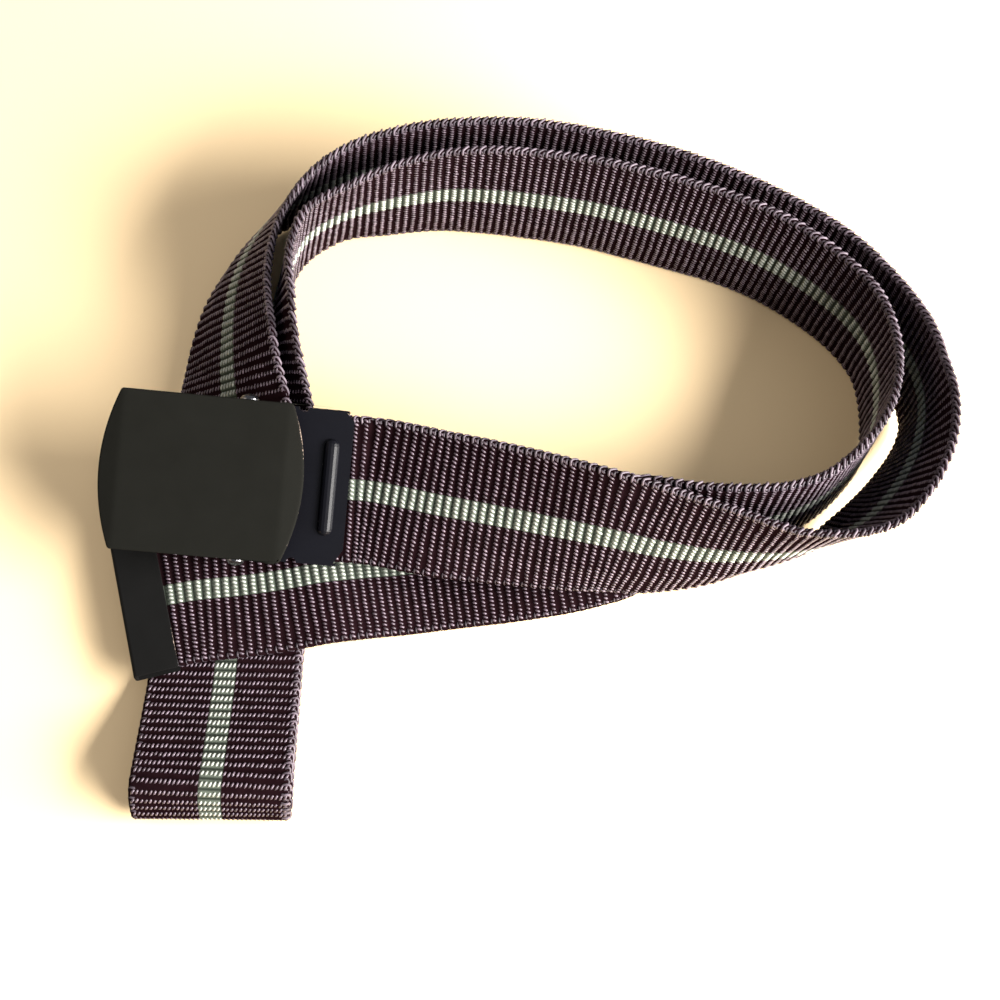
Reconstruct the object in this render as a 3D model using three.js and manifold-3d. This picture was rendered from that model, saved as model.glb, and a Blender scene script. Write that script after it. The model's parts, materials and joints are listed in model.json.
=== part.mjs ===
// A woven web belt with a box buckle, lying on a table with its free end out of the buckle.
// Millimetres, +Z up. The belt rests on z = 0 and the middle of its outline stands over x = y = 0.

import * as THREE from 'three';
import { mergeVertices } from 'three/addons/utils/BufferGeometryUtils.js';
import Module from 'manifold-3d';

const wasm = await Module();
wasm.setup();

// Webbing
const WEB_WIDTH = 38;
const WEB_THICKNESS = 2.2;
const EDGE_ROUND = 0.7; // how far in from the selvedge the webbing reaches its full thickness
const EDGE_SHARE = 0.4; // how much of its thickness is left at the selvedge
const CREASE_FROM_MIDDLE = 9.5; // the lengthwise wear crease, towards the lower edge
const RING_STEP = 6; // longest stretch of belt between two sections of the solid
const RINGS_PER_ROW = 3; // fewest sections between two rows of the route
const TANGENT_STEP = 0.05; // share of a row over which the belt's direction is measured

// Buckle, in its own frame: X along the belt, Y across it, Z out of its face
const BUCKLE_PLACE = [-76.6, -4.4, 19.5]; // where the middle of the base's underside lies
const BUCKLE_TILT = 22; // degrees, because the rising webbing props up its far side
const BUCKLE_TURN = -3.4; // degrees about the vertical
const FACE_HALF_LENGTH = 21; // to the corners, where the bowed ends start
const FACE_HALF_WIDTH = 19.9;
const FACE_BOW = 4.1; // how far each end bows out past its corners
const FACE_TOP = 8.3;
const SHEET = 0.9; // thickness of the face
const FLAP_FROM = 20.3; // each bowed end bends down from a straight line here
const FLAP_SLOPE = 0.2;
const FACE_STRIPS = [-1, -0.66, -0.33, 0, 0.33, 0.66, 1]; // shares of the half width
const FACE_RINGS = [
  [-1, 1], [-1, 0.67], [-1, 0.33], [-1, 0], [1, 0], [1, 0.33], [1, 0.67], [1, 1],
]; // which end, and the share of its flap
const BASE_THICKNESS = 0.8;
const WALL_THICKNESS = 0.7;
const BASE_LEFT = -21;
const BASE_RIGHT = 36;
const BASE_HALF_WIDTH = 19.8;
const TAIL_LEFT = 21.5; // where the base shows past the face, as the ribbed plate
const TAIL_HALF_WIDTH = 19.8;
const TAIL_CORNER = 2.6;
const TAIL_CORNER_STRETCH = 1.6; // the near corner is cut longer than the far one
const NOTCH_RADIUS = 1.3;
const NOTCH_X = 23.2;
const NOTCH_DEPTH = 4;
const RIB_X = 30.9;
const RIB_HALF_LENGTH = 12.4;
const RIB_RADIUS = 2;
const RIB_HEIGHT = 1.5;
const ROUND_SIDES = 16;
const ROD_SIDES = 20;
const ROUND_RINGS = 4;
const WALL_LEFT = -15;
const WALL_RIGHT = 15.2;
const EAR_LEFT = 28.5;
const EAR_RIGHT = 34.5;
const EAR_DEPTH = 4.3; // below the base's underside
const EAR_THICKNESS = 0.5;
const FIT = 0.3; // clearance between pieces that touch
const OVERLAP = 0.1; // of two solids that are joined
const PAST = 1; // how far a cut reaches past what it cuts

// Roller bar and the sloping slots that it slides in
const BAR_RADIUS = 1.4;
const BAR_X = 9.5; // at rest, at the low end of the slots
const BAR_TRAVEL = 6;
const SLOT_SLOPE = 11; // degrees
const SLOT_CLEARANCE = 0.3;
const BAR_HEAD_RADIUS = 2.4;
const BAR_HEAD_LENGTH = 1.7;
const BAR_HEAD = [[0, 0], [1, 0], [1, 0.2], [0.8, 0.56], [0.45, 0.8], [0, 1]]; // shares of the two
const BAR_SIDES = 24;

// Clamp behind the base, hidden from the front
const CLAMP_LEFT = 15;
const CLAMP_RIGHT = 33;
const CLAMP_HALF_WIDTH = 18.6;
const CLAMP_THICKNESS = 0.7;
const CLAMP_PIN_X = 31.5;
const CLAMP_PIN_RADIUS = 0.45;
const TOOTH_PITCH = 2.4;
const TOOTH_COUNT = 3;
const TOOTH_HEIGHT = 0.5;
const TOOTH_LENGTH = 1.2;
const TOOTH_LEAN = 0.2; // where its point is, from the tooth's start
const FIRST_TOOTH = 1; // from the clamp's end

// Where the webbing is held straight behind the base, and how much more it leans at each place
const STRAIGHT_PAST_BASE = 5;
const CLAMPED_AT = [
  CLAMP_LEFT, TAIL_LEFT, CLAMP_PIN_X, BASE_RIGHT, BASE_RIGHT + STRAIGHT_PAST_BASE,
];
const CLAMPED_LEAN = 0.002;

// Metal tip folded over the free end
const TIP_LENGTH = 11;
const TIP_WIDTH = 38.8;
const TIP_SHEET = 0.6;
const TIP_CLEARANCE = 0.4;
const TIP_BITE = 9; // how much of the webbing is inside the tip
const TIP_ROUND = 0.6; // of the two corners of its bend

// The route of the webbing's middle line, a row for each place where it bends or rolls.
// x and y: where the middle of the width is. lift: how far its lowest edge is above the table.
// turn and rise: which way the width points, in degrees, from the lower edge to the upper one.
// crease: how far the strip below the wear crease is bent back, in degrees.
const COLUMNS = ['x', 'y', 'lift', 'turn', 'rise', 'crease'];

const FRONT_STRAND = [
  [-18, -10.2, 9.9, 83, 28, 4],
  [4, -14.4, 7.8, 81, 40, 12],
  [25, -18.6, 6.8, 79, 52, 16],
  [41, -20.6, 3.5, 79, 62, 17],
  [55, -21, 1, 82, 74, 18],
  [71, -19.9, 0, -60, 87, 16],
];
const OUTER_LOOP = [
  [85.5, -15.9, 0, -58, 76, 12],
  [95.4, -10.3, 1.2, -52, 71, 9],
  [103, -2.6, 2.4, -46, 73, 6],
  [109.3, 6.9, 2.8, -38, 78, 4],
  [113.3, 17, 2.6, -30, 86, 3],
  [115, 28.3, 1.8, 170, 86, 2],
  [112.5, 41.7, 0.8, 180, 86, 2],
  [104, 56.5, 0.08, 215, 87, 0],
  [91, 70, 0, 225, 88, 0],
  [64.5, 85, 0, 250, 89, 0],
  [38, 94, 0, 260, 89, 0],
  [6, 98.8, 0, 270, 89, 0],
  [-19, 97, 0, -80, 88, 0],
  [-33, 94, 0, -65, 85, 4],
  [-45, 90, 0, -58, 80, 8],
  [-56, 83.5, 0, -45, 73, 10],
  [-64.5, 75, 0, -35, 66, 12],
  [-70.5, 65, 0, -25, 60, 12],
];
const ROLL_TO_FLAT = [
  [-74, 53.5, 0, -20, 54, 8],
  [-74.8, 42, 0, -17, 48, 4],
  [-74.2, 30, 1, -14, 42, 0],
  [-73, 19, 1.8, -10, 31, 0],
  [-71.4, 8, 2.6, -5, 13, 0],
  [-70.3, -4, 2.8, -2, 1, 0],
  [-69.6, -16, 2.7, -0.9, 0.1, 0],
];
const FOLD = [
  [-69.55, -32, 2.7, -0.7, 0, 0],
  [-69.6, -44, 2.7, -0.6, 0, 0],
  [-69.6, -53.5, 2.9, -0.5, 0, 0],
  [-69.65, -61.5, 5.3, -0.4, 0, 0],
  [-69.7, -69.5, 8.2, -0.3, 0, 0],
  [-69.75, -76.3, 10.5, -0.2, 0, 0],
  [-69.9, -80.2, 10.9, -0.1, 0, 0],
  [-70, -82.9, 9.1, 0, 0, 0],
  [-70.1, -84.9, 5.7, 0.1, 0, 0],
  [-70.1, -86.2, 2.5, 0.2, 0, 0],
  [-70.1, -85.6, 0.8, 0.25, 0, 0],
  [-70, -83, 0.15, 0.3, 0, 0],
  [-70, -77, 0.05, 0.2, 0, 0],
  [-69.7, -60, 0, 0.1, 0, 0],
  [-69.2, -36, 0, 0, 0, 0],
];
const ROLL_TO_EDGE = [
  [-68.6, -20, 0, 0, 0, 0],
  [-68, -9, 0, 0, 0.3, 0],
  [-67.9, -2, 0, -1, 1, 0],
  [-67.6, 5, 0, -3, 6, 0],
  [-66.8, 17, 0, -8, 25, 0],
  [-65.6, 30, 0, -12, 47, 0],
  [-63.2, 43, 0, -18, 68, 0],
  [-60.6, 56, 0, -40, 81, 0],
  [-56, 68.5, 0, -60, 80, 0],
];
const INNER_LOOP = [
  [-46.5, 76.5, 0, -65, 79, 2],
  [-33, 82, 0, -60, 86, 4],
  [-18, 85.8, 0, 80, 88, 8],
  [-5, 86.4, 0, 88, 84, 12],
  [8, 85.8, 0, 88, 82, 14],
  [24, 84.2, 0, 84, 81, 14],
  [37, 81.5, 0, 76, 80, 14],
  [50, 78.2, 0, 72, 80, 14],
  [63, 74.4, 0, 67, 81, 14],
  [76, 68.7, 0, 60, 83, 13],
  [89, 59.7, 0, 50, 86, 10],
  [98, 50.5, 0, 40, 89, 8],
  [102.5, 41, 0, 190, 87, 6],
  [103.3, 28, 0, 185, 86, 4],
  [100.4, 16, 0, 200, 82, 2],
  [93.2, 5.4, 0, 208, 76, 0],
  [82.8, -3.8, 0, 203, 72, 0],
];
const LEAN_BACK = [
  [72, -9.2, 0, 186, 70, 0],
  [60, -12.4, 0, 160, 69, 0],
  [48.5, -14, 0, 137, 66, 0],
  [37, -14.4, 0, 121, 57, 0],
  [25, -14.6, 0, 110, 36, 0],
  [12, -15.4, 0, 105, 18, 0],
  [-2, -17, 0, 101, 6, 0],
];
const FREE_END = [
  [-15, -18.8, 0, 100, 1, 0],
  [-28, -21, 0.6, 99, 1, 0],
  [-38, -23, 3, 99, 1, 0],
  [-48, -25.2, 5.2, 99, 1, 0],
  [-58, -27.5, 5.3, 99.5, 1, 0],
  [-69, -29.5, 5.7, 101.5, 0, 0],
  [-78.5, -31, 6.2, 104.5, 0, 0],
  [-86.5, -32.8, 6.3, 105.8, 0, 0],
  [-94.3, -35, 6.3, 105.8, 0, 0],
];

const FINISHES = {
  webbing: { color: 0x3d3036, roughness: 0.85, metalness: 0 },
  coated: { color: 0x2b2d2a, roughness: 0.55, metalness: 0.3 },
  bare: { color: 0x5c5c5f, roughness: 0.35, metalness: 0.9 },
  tip: { color: 0x22262b, roughness: 0.6, metalness: 0.3 },
};

const radians = THREE.MathUtils.degToRad;

// Solids and booleans

function toSolid(geometry) {
  const bare = geometry.clone();
  bare.deleteAttribute('normal');
  bare.deleteAttribute('uv');
  const merged = mergeVertices(bare, 1e-4);
  const vertProperties = new Float32Array(merged.attributes.position.array);
  const triVerts = new Uint32Array(merged.index.array);
  return new wasm.Manifold(new wasm.Mesh({ numProp: 3, vertProperties, triVerts }));
}

function toGeometry(solid) {
  const mesh = solid.getMesh();
  const geometry = new THREE.BufferGeometry();
  geometry.setAttribute('position', new THREE.BufferAttribute(mesh.vertProperties, 3));
  geometry.setIndex(new THREE.BufferAttribute(mesh.triVerts, 1));
  geometry.computeVertexNormals();
  return geometry;
}

function block(x0, x1, y0, y1, z0, z1) {
  const box = new THREE.BoxGeometry(x1 - x0, y1 - y0, z1 - z0);
  return toSolid(box.translate((x0 + x1) / 2, (y0 + y1) / 2, (z0 + z1) / 2));
}

function upright(shape, z0, z1) {
  const settings = { depth: z1 - z0, bevelEnabled: false };
  return toSolid(new THREE.ExtrudeGeometry(shape, settings).translate(0, 0, z0));
}

// A rod across the belt, and so along Y
function crossRod(radius, y0, y1, x, z, sides = ROD_SIDES) {
  const rod = new THREE.CylinderGeometry(radius, radius, y1 - y0, sides);
  return toSolid(rod.translate(x, (y0 + y1) / 2, z));
}

function mesh(name, geometry, finish) {
  const made = new THREE.Mesh(geometry, new THREE.MeshStandardMaterial(finish));
  made.name = name;
  return made;
}

// A closed skin over rings of points, each ring anticlockwise about the way that the rings run.
// The second half of a ring lies opposite its first half, so the two ends are closed by strips.
function skin(rings) {
  const around = rings[0].length;
  const positions = rings.flat().flatMap((p) => [p.x, p.y, p.z]);
  const index = [];
  for (let r = 0; r + 1 < rings.length; r += 1) {
    for (let i = 0; i < around; i += 1) {
      const next = (i + 1) % around;
      const [a, b] = [r * around + i, r * around + next];
      const [c, d] = [a + around, b + around];
      index.push(a, b, d, a, d, c);
    }
  }
  const last = (rings.length - 1) * around;
  for (let i = 0; i + 1 < around / 2; i += 1) {
    const [c, d] = [around - 2 - i, around - 1 - i];
    index.push(i, d, c, i, c, i + 1);
    index.push(last + i, last + c, last + d, last + i, last + i + 1, last + c);
  }
  const geometry = new THREE.BufferGeometry();
  geometry.setAttribute('position', new THREE.Float32BufferAttribute(positions, 3));
  geometry.setIndex(index);
  geometry.computeVertexNormals();
  return geometry;
}

// Webbing

const buckle = new THREE.Group();
buckle.position.set(...BUCKLE_PLACE);
buckle.rotation.set(radians(BUCKLE_TILT), 0, radians(BUCKLE_TURN), 'ZYX');
buckle.updateMatrix();

// How far the lowest point of a section is below the middle of its width, from the way that its
// width points and from the bend of its crease
function depthBelowMiddle(across, crease) {
  const rise = Math.asin(Math.min(1, Math.abs(across.z)));
  const upperPart = CREASE_FROM_MIDDLE * Math.sin(rise);
  const strip = WEB_WIDTH / 2 - CREASE_FROM_MIDDLE;
  const lowerPart = strip * Math.sin(Math.min(Math.PI / 2, rise + crease));
  return upperPart + lowerPart + (WEB_THICKNESS / 2) * Math.cos(rise);
}

function widthDirection({ turn, rise }) {
  const flat = Math.cos(radians(rise));
  return new THREE.Vector3(
    flat * Math.cos(radians(turn)),
    flat * Math.sin(radians(turn)),
    Math.sin(radians(rise)),
  );
}

// The stretch that is clamped in the buckle, straight behind its base
function clampedRows() {
  const middle = -FIT - WEB_THICKNESS / 2;
  return CLAMPED_AT.map((x, i) => {
    const across = new THREE.Vector3(0, 1, i * CLAMPED_LEAN).transformDirection(buckle.matrix);
    const foot = new THREE.Vector3(x, 0, middle).applyMatrix4(buckle.matrix);
    foot.z -= depthBelowMiddle(across, 0);
    return { foot, across, crease: 0 };
  });
}

function routeRows() {
  const stretches = [
    FRONT_STRAND, OUTER_LOOP, ROLL_TO_FLAT, FOLD, ROLL_TO_EDGE, INNER_LOOP, LEAN_BACK, FREE_END,
  ];
  const lying = stretches.flat().map((values) => {
    const row = Object.fromEntries(COLUMNS.map((name, i) => [name, values[i]]));
    const foot = new THREE.Vector3(row.x, row.y, row.lift);
    return { foot, across: widthDirection(row), crease: radians(row.crease) };
  });
  return [...clampedRows(), ...lying];
}

// Sections along the route: where each is, and its own directions along, across and out of the face
function sectionsAlong(rows) {
  const feet = new THREE.CatmullRomCurve3(rows.map((row) => row.foot));
  const widths = new THREE.CatmullRomCurve3(rows.map((row) => row.across));
  const spans = rows.length - 1;

  function middleAt(t) {
    const share = THREE.MathUtils.clamp(t, 0, 1);
    const span = Math.min(spans - 1, Math.floor(share * spans));
    const [before, after] = [rows[span].crease, rows[span + 1].crease];
    const crease = THREE.MathUtils.lerp(before, after, share * spans - span);
    const across = widths.getPoint(share).normalize();
    const foot = feet.getPoint(share);
    const centre = foot.clone();
    centre.z += depthBelowMiddle(across, crease);
    return { centre, foot, across, crease };
  }

  const sections = [];
  for (let span = 0; span < spans; span += 1) {
    const length = rows[span].foot.distanceTo(rows[span + 1].foot);
    const rings = Math.max(RINGS_PER_ROW, Math.ceil(length / RING_STEP));
    for (let ring = span === 0 ? 0 : 1; ring <= rings; ring += 1) {
      const t = (span + ring / rings) / spans;
      const { foot, across, crease } = middleAt(t);
      const ahead = middleAt(t + TANGENT_STEP / spans).centre;
      const along = ahead.sub(middleAt(t - TANGENT_STEP / spans).centre).normalize();
      across.addScaledVector(along, -across.dot(along)).normalize();
      const out = new THREE.Vector3().crossVectors(along, across);
      const centre = foot.setZ(foot.z + depthBelowMiddle(across, crease));
      sections.push({ centre, along, across, out, crease });
    }
  }
  return sections;
}

// A point of a section, from its place across the width and its height over the middle surface
function sectionPoint({ centre, across, out, crease }, y, height) {
  const below = Math.min(0, y + CREASE_FROM_MIDDLE);
  const lean = below < 0 ? crease : crease / 2;
  const tilted = across.clone().multiplyScalar(Math.cos(crease)).addScaledVector(out, Math.sin(crease));
  const face = out.clone().multiplyScalar(Math.cos(lean)).addScaledVector(across, -Math.sin(lean));
  const flat = y > -CREASE_FROM_MIDDLE + EDGE_ROUND ? out : face;
  return centre.clone()
    .addScaledVector(across, y - below)
    .addScaledVector(tilted, below)
    .addScaledVector(flat, height);
}

function webbingRing(section) {
  const [edge, half] = [WEB_WIDTH / 2, WEB_THICKNESS / 2];
  const corner = edge - EDGE_ROUND;
  const outline = [
    [edge, half * EDGE_SHARE], [corner, half], [-CREASE_FROM_MIDDLE, half], [-corner, half],
    [-edge, half * EDGE_SHARE], [-edge, -half * EDGE_SHARE], [-corner, -half], [-CREASE_FROM_MIDDLE, -half],
    [corner, -half], [edge, -half * EDGE_SHARE],
  ];
  return outline.map(([y, height]) => sectionPoint(section, y, height));
}

const sections = sectionsAlong(routeRows());
const webbing = mesh('webbing', skin(sections.map(webbingRing)), FINISHES.webbing);

// Metal tip: one folded sheet round the end of the webbing

function tipGeometry({ centre, along, across, out }) {
  const inside = WEB_THICKNESS / 2 + TIP_CLEARANCE;
  const outside = inside + TIP_SHEET;
  const mouth = -TIP_BITE;
  const end = mouth + TIP_LENGTH;
  const wall = end - TIP_SHEET;
  const profile = [
    [mouth, inside], [wall, inside], [wall, -inside], [mouth, -inside],
    [mouth, -outside], [end - TIP_ROUND, -outside], [end, -outside + TIP_ROUND],
    [end, outside - TIP_ROUND], [end - TIP_ROUND, outside], [mouth, outside],
  ];
  const shape = new THREE.Shape(profile.map(([x, z]) => new THREE.Vector2(x, z)));
  const sheet = new THREE.ExtrudeGeometry(shape, { depth: TIP_WIDTH, bevelEnabled: false });
  const place = new THREE.Matrix4().makeBasis(along, out, across.clone().negate());
  place.setPosition(centre.clone().addScaledVector(across, TIP_WIDTH / 2));
  return toGeometry(toSolid(sheet.applyMatrix4(place)));
}

const beltTip = mesh('belt_tip', tipGeometry(sections.at(-1)), FINISHES.tip);

// Buckle

const baseTop = BASE_THICKNESS;
const faceUnder = FACE_TOP - SHEET;
const barRestZ = baseTop + BAR_RADIUS + FIT;
const slide = new THREE.Vector3(-Math.cos(radians(SLOT_SLOPE)), 0, Math.sin(radians(SLOT_SLOPE)));

// The face: flat in the middle, its two bowed ends bent down
function faceGeometry() {
  const rings = FACE_RINGS.map(([side, share]) => {
    const row = FACE_STRIPS.map((strip) => {
      const flap = FACE_HALF_LENGTH + FACE_BOW * (1 - strip * strip) - FLAP_FROM;
      const drop = FLAP_SLOPE * share * flap;
      return new THREE.Vector3(
        side * (FLAP_FROM + share * flap),
        strip * FACE_HALF_WIDTH,
        FACE_TOP - drop,
      );
    });
    const under = row.map((p) => p.clone().setZ(p.z - SHEET));
    return [...row.reverse(), ...under];
  });
  return skin(rings);
}

function tailShape() {
  const [left, right, half, corner] = [TAIL_LEFT - PAST, BASE_RIGHT, TAIL_HALF_WIDTH, TAIL_CORNER];
  const points = [
    [left, -half], [right - corner, -half], [right, -half + corner * TAIL_CORNER_STRETCH],
    [right, half - corner], [right - corner, half], [left, half],
  ];
  return new THREE.Shape(points.map(([x, y]) => new THREE.Vector2(x, y)));
}

function ribGeometry() {
  const straight = 2 * (RIB_HALF_LENGTH - RIB_RADIUS);
  const rib = new THREE.CapsuleGeometry(RIB_RADIUS, straight, ROUND_RINGS, ROUND_SIDES);
  return toSolid(rib.scale(1, 1, RIB_HEIGHT / RIB_RADIUS).translate(RIB_X, 0, baseTop));
}

// A sloping slot that a rod of the bar's size slides in, cut through both side walls
function slotCutter() {
  const reach = BASE_HALF_WIDTH + PAST;
  const radius = BAR_RADIUS + SLOT_CLEARANCE;
  const low = new THREE.Vector3(BAR_X, 0, barRestZ);
  const high = low.clone().addScaledVector(slide, BAR_TRAVEL);
  const between = new THREE.BoxGeometry(BAR_TRAVEL, 2 * reach, 2 * radius);
  between.rotateY(radians(SLOT_SLOPE));
  between.translate((low.x + high.x) / 2, 0, (low.z + high.z) / 2);
  return toSolid(between)
    .add(crossRod(radius, -reach, reach, low.x, low.z))
    .add(crossRod(radius, -reach, reach, high.x, high.z));
}

function frameGeometry() {
  const wallTop = faceUnder - FIT;
  const wallIn = BASE_HALF_WIDTH - WALL_THICKNESS;
  const earIn = TAIL_HALF_WIDTH - EAR_THICKNESS;
  let frame = block(BASE_LEFT, TAIL_LEFT, -BASE_HALF_WIDTH, BASE_HALF_WIDTH, 0, baseTop);
  frame = frame.add(upright(tailShape(), 0, baseTop)).add(ribGeometry());
  frame = frame.subtract(block(BASE_LEFT, BASE_RIGHT, -wallIn, wallIn, -RIB_RADIUS, 0));
  let walls = block(WALL_LEFT, WALL_RIGHT, -BASE_HALF_WIDTH, -wallIn, 0, wallTop);
  walls = walls.add(block(WALL_LEFT, WALL_RIGHT, wallIn, BASE_HALF_WIDTH, 0, wallTop));
  frame = frame.add(walls.subtract(slotCutter()));
  for (const side of [-1, 1]) {
    const [y0, y1] = [side * earIn, side * TAIL_HALF_WIDTH].sort((a, b) => a - b);
    const ear = block(EAR_LEFT, EAR_RIGHT, y0, y1, -EAR_DEPTH, baseTop / 2);
    const pinHole = crossRod(CLAMP_PIN_RADIUS + FIT, y0 - PAST, y1 + PAST, CLAMP_PIN_X, pinZ);
    frame = frame.add(ear.subtract(pinHole));
    const notch = new THREE.CylinderGeometry(NOTCH_RADIUS, NOTCH_RADIUS, NOTCH_DEPTH, ROUND_SIDES);
    notch.rotateX(Math.PI / 2).translate(NOTCH_X, side * TAIL_HALF_WIDTH, 0);
    frame = frame.subtract(toSolid(notch));
  }
  return toGeometry(frame);
}

function barGeometry() {
  const neck = BASE_HALF_WIDTH + FIT;
  let bar = crossRod(BAR_RADIUS, -neck - OVERLAP, neck + OVERLAP, BAR_X, barRestZ, BAR_SIDES);
  for (const side of [-1, 1]) {
    const profile = BAR_HEAD.map(
      ([radius, y]) => new THREE.Vector2(radius * BAR_HEAD_RADIUS, y * BAR_HEAD_LENGTH),
    );
    const head = new THREE.LatheGeometry(profile, BAR_SIDES);
    head.rotateX(side > 0 ? 0 : Math.PI).translate(BAR_X, side * neck, barRestZ);
    bar = bar.add(toSolid(head));
  }
  return toGeometry(bar);
}

const webUnder = -FIT - WEB_THICKNESS;
const clampTop = webUnder - FIT - TOOTH_HEIGHT;
const pinZ = clampTop;

function clampGeometry() {
  const half = CLAMP_HALF_WIDTH;
  let clamp = block(CLAMP_LEFT, CLAMP_RIGHT, -half, half, clampTop - CLAMP_THICKNESS, clampTop);
  for (let i = 0; i < TOOTH_COUNT; i += 1) {
    const x = CLAMP_LEFT + FIRST_TOOTH + i * TOOTH_PITCH;
    const tooth = new THREE.Shape([
      new THREE.Vector2(x, clampTop - OVERLAP),
      new THREE.Vector2(x + TOOTH_LENGTH, clampTop - OVERLAP),
      new THREE.Vector2(x + TOOTH_LEAN, clampTop + TOOTH_HEIGHT),
    ]);
    const bar = new THREE.ExtrudeGeometry(tooth, { depth: 2 * half, bevelEnabled: false });
    clamp = clamp.add(toSolid(bar.rotateX(Math.PI / 2).translate(0, half, 0)));
  }
  const pinEnd = TAIL_HALF_WIDTH + FIT;
  return toGeometry(clamp.add(crossRod(CLAMP_PIN_RADIUS, -pinEnd, pinEnd, CLAMP_PIN_X, pinZ)));
}

buckle.add(
  mesh('face_plate', faceGeometry(), FINISHES.coated),
  mesh('buckle_frame', frameGeometry(), FINISHES.coated),
  mesh('roller_bar', barGeometry(), FINISHES.bare),
  mesh('back_clamp', clampGeometry(), FINISHES.coated),
);

const belt = new THREE.Group();
belt.add(webbing, beltTip, buckle);

// The middle of the outline comes to x = y = 0, and the lowest point to z = 0
const outline = new THREE.Box3().setFromObject(belt, true);
const middle = outline.getCenter(new THREE.Vector3());
belt.position.set(-middle.x, -middle.y, -outline.min.z);

export default belt;
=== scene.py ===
"""A woven web belt with a box buckle, laid on a table with its free end out of the buckle.

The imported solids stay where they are, and this scene adds what they leave plain: the ribs,
yarns and selvedges of the webbing, the coated buckle and tip with their wear, the table, the
light and the camera. Lengths of the belt and the camera's place are in millimetres, in the frame
that the route was laid out in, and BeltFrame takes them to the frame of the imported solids. The
table, the lamps and the materials' bumps are in metres.
"""

import json
import logging
import math
from collections.abc import Callable
from dataclasses import dataclass
from enum import Enum

import bmesh
import bpy
import numpy as np
from mathutils import Matrix, Vector

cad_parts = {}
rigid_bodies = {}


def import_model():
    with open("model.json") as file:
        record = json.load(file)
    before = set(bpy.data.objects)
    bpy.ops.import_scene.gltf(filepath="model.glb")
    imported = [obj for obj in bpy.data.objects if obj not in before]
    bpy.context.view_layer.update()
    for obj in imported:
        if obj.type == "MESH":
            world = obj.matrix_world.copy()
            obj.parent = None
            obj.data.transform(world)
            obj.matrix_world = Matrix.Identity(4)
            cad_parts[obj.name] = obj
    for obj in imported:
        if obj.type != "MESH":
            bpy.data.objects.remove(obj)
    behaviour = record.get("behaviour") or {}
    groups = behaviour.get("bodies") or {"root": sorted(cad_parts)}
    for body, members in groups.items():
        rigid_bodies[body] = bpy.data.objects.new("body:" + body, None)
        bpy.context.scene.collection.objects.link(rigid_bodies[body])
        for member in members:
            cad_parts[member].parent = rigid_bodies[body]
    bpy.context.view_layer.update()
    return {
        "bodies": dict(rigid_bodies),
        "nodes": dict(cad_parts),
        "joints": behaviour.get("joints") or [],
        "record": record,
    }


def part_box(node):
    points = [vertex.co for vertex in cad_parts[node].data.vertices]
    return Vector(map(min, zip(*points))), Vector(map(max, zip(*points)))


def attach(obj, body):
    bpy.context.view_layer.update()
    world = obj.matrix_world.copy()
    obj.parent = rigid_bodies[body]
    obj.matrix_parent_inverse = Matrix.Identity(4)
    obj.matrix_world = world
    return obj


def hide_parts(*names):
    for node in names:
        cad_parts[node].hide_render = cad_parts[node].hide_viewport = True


LOG = logging.getLogger("belt")
MM = 0.001

Triple = tuple[float, float, float]
Socket = bpy.types.NodeSocket
Value = Socket | float | Triple

# Below this a length counts as none
SMALL = 1e-4

# Modelled edges that turn by more degrees than this look sharp
SHARP_FROM = 50.0

# Places of the Mix node's colours among its inputs and outputs
MIX_FIRST = 6
MIX_SECOND = 7
MIX_RESULT = 2

# Webbing
WEB_THICKNESS = 2.2
WEB_HALF_WIDTH = 19.0
CREASE_FROM_MIDDLE = 9.5
RIB_COUNT = 512
STRIPE_HALF_WIDTH = 2.65
STRIPE_BLUR = 0.15

# How far above the crease a face still leans
CREASE_REACH = 0.7

# How far to either side of a place its direction is taken, in rows of the route
TANGENT_STEP = 0.05

# How far the tip reaches over the webbing's end
TIP_BITE = 9.0

# Where the webbing is clamped behind the buckle's base
CLAMPED_AT = (15.0, 21.5, 31.5, 36.0, 41.0)
CLAMPED_BELOW = 1.4
CLAMPED_LEAN = 0.002

# The route of the webbing's middle line, a row for each place where it bends or rolls.
# Columns: x, y, lift of the lowest edge, turn and rise of the width, bend of the crease.
FRONT_STRAND = (
    (-18, -10.2, 9.9, 83, 28, 4),
    (4, -14.4, 7.8, 81, 40, 12),
    (25, -18.6, 6.8, 79, 52, 16),
    (41, -20.6, 3.5, 79, 62, 17),
    (55, -21, 1, 82, 74, 18),
    (71, -19.9, 0, -60, 87, 16),
)
OUTER_LOOP = (
    (85.5, -15.9, 0, -58, 76, 12),
    (95.4, -10.3, 1.2, -52, 71, 9),
    (103, -2.6, 2.4, -46, 73, 6),
    (109.3, 6.9, 2.8, -38, 78, 4),
    (113.3, 17, 2.6, -30, 86, 3),
    (115, 28.3, 1.8, 170, 86, 2),
    (112.5, 41.7, 0.8, 180, 86, 2),
    (104, 56.5, 0.08, 215, 87, 0),
    (91, 70, 0, 225, 88, 0),
    (64.5, 85, 0, 250, 89, 0),
    (38, 94, 0, 260, 89, 0),
    (6, 98.8, 0, 270, 89, 0),
    (-19, 97, 0, -80, 88, 0),
    (-33, 94, 0, -65, 85, 4),
    (-45, 90, 0, -58, 80, 8),
    (-56, 83.5, 0, -45, 73, 10),
    (-64.5, 75, 0, -35, 66, 12),
    (-70.5, 65, 0, -25, 60, 12),
)
ROLL_TO_FLAT = (
    (-74, 53.5, 0, -20, 54, 8),
    (-74.8, 42, 0, -17, 48, 4),
    (-74.2, 30, 1, -14, 42, 0),
    (-73, 19, 1.8, -10, 31, 0),
    (-71.4, 8, 2.6, -5, 13, 0),
    (-70.3, -4, 2.8, -2, 1, 0),
    (-69.6, -16, 2.7, -0.9, 0.1, 0),
)
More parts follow.
